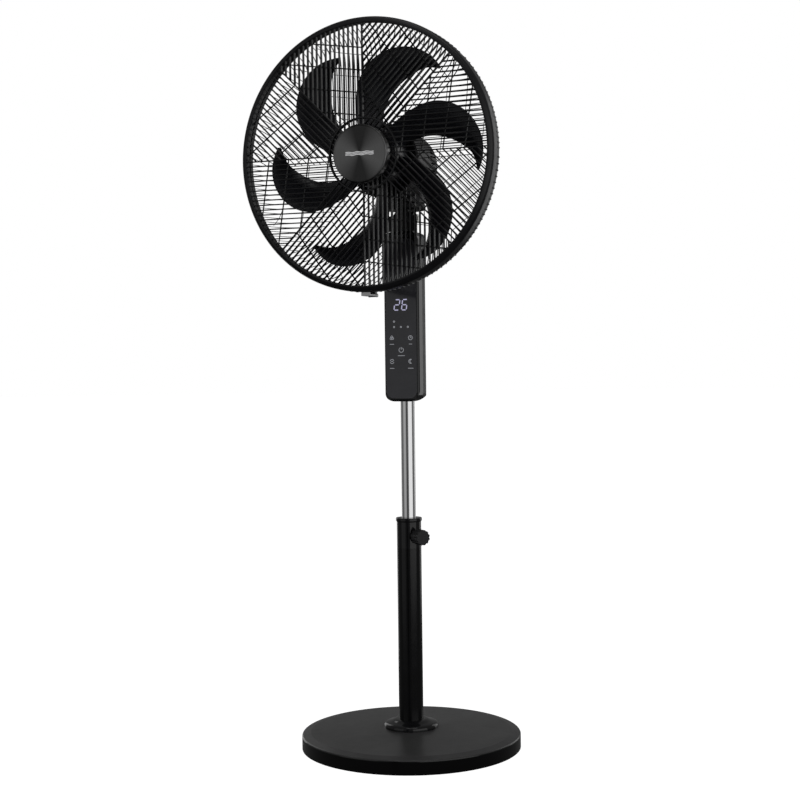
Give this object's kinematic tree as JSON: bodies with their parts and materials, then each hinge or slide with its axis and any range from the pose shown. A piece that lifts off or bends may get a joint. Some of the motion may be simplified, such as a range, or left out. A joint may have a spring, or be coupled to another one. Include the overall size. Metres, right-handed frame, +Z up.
{
  "type": "pedestal fan",
  "caption": "Pedestal fan: round weighted base, telescopic chrome post, slim control column, tilting and swinging head with guarded sickle-blade impeller.",
  "frame": {"origin": "on the floor under the post axis, at the centre of the round base", "axes": "+Z up along the post; the fan faces -Y; +X is the viewer's right when facing the fan"},
  "size_m": [0.45, 0.389, 1.245],
  "materials": {
    "base_plastic": "satin top, polished rim",
    "matte_plastic": "fine moulded texture",
    "gloss_plastic": "polished",
    "guard_plastic": "satin",
    "blade_plastic": "semi gloss",
    "badge": "spun, circular brushed",
    "panel": "high gloss lens",
    "grey_plastic": "satin",
    "white_plastic": "natural acetal",
    "circuit": "solder mask",
    "rubber": "matt",
    "painted_steel": "gloss black enamel",
    "iron": "as cast",
    "zinc": "zinc plated",
    "chrome": "polished",
    "bearing_steel": "ground",
    "laminations": "varnished laminations",
    "copper": "enamelled copper wire"
  },
  "bodies": {
    "stand": {"base_cover": "base_plastic", "base_pan": "matte_plastic", "base_weight": "iron", "base_feet": "rubber", "base_screws": "zinc", "pole_flange": "painted_steel", "flange_screws": "zinc", "pole_escutcheon": "gloss_plastic", "outer_tube": "painted_steel", "height_collar": "gloss_plastic", "collar_bush": "white_plastic"},
    "height_lock": {"height_knob": "matte_plastic", "knob_screw": "zinc"},
    "mast": {"inner_tube": "chrome", "mast_guide": "white_plastic", "control_box_front": "gloss_plastic", "control_box_rear": "matte_plastic", "control_panel": "panel", "control_board": "circuit", "display_module": "white_plastic", "touch_springs": "zinc", "remote_receiver": "panel", "power_board": "circuit", "cord_grommet": "rubber", "column_screws": "zinc", "tilt_fork": "matte_plastic", "tilt_bolt": "zinc", "tilt_nut": "zinc"},
    "neck": {"neck": "matte_plastic", "thrust_washer": "white_plastic", "pan_spindle": "zinc", "pan_gear": "white_plastic", "spindle_clip": "zinc"},
    "head": {"swing_bracket": "zinc", "swing_motor": "zinc", "bracket_screws": "zinc", "motor_housing_rear": "matte_plastic", "motor_housing_front": "matte_plastic", "motor_end_plate": "zinc", "end_plate_screws": "zinc", "front_bearing": "bearing_steel", "rear_bearing": "bearing_steel", "stator_core": "laminations", "stator_windings": "copper", "front_guard": "guard_plastic", "front_badge": "badge", "rear_guard": "guard_plastic", "guard_nut": "matte_plastic", "latch_pin": "zinc"},
    "swing_drive": {"swing_pinion": "white_plastic"},
    "impeller": {"impeller": "blade_plastic", "impeller_pin": "zinc", "spinner_nut": "matte_plastic", "motor_shaft": "bearing_steel", "motor_rotor": "laminations"},
    "latch": {"guard_latch": "grey_plastic"}
  },
  "joints": [
    {"name": "height_slide", "type": "slide", "parent": "stand", "child": "mast", "axis": [0, 0, 1], "range_m": [-0.18, 0.085]},
    {"name": "height_knob_turn", "type": "hinge", "parent": "stand", "child": "height_lock", "pos_m": [0, 0, 0.374], "axis": [-0.766, 0.6428, 0], "range_deg": [0, 360]},
    {"name": "head_tilt", "type": "hinge", "parent": "mast", "child": "neck", "pos_m": [0, 0, 0.93], "axis": [1, 0, 0], "range_deg": [-20, 12]},
    {"name": "head_swing", "type": "hinge", "parent": "neck", "child": "head", "pos_m": [0, 0, 0.956], "axis": [0, 0, 1], "range_deg": [-45, 45]},
    {"name": "pinion_spin", "type": "hinge", "parent": "head", "child": "swing_drive", "pos_m": [0, -0.024, 0.978], "axis": [0, 0, 1], "range_deg": [-135, 135]},
    {"name": "impeller_spin", "type": "hinge", "parent": "head", "child": "impeller", "pos_m": [0, -0.127, 1.02], "axis": [0, 1, 0], "continuous": true},
    {"name": "latch_swing", "type": "hinge", "parent": "head", "child": "latch", "pos_m": [0, -0.146, 0.7902], "axis": [1, 0, 0], "range_deg": [0, 70]}
  ],
  "couplings": [
    {"joint": "pinion_spin", "follows": "head_swing", "ratio": 3}
  ]
}
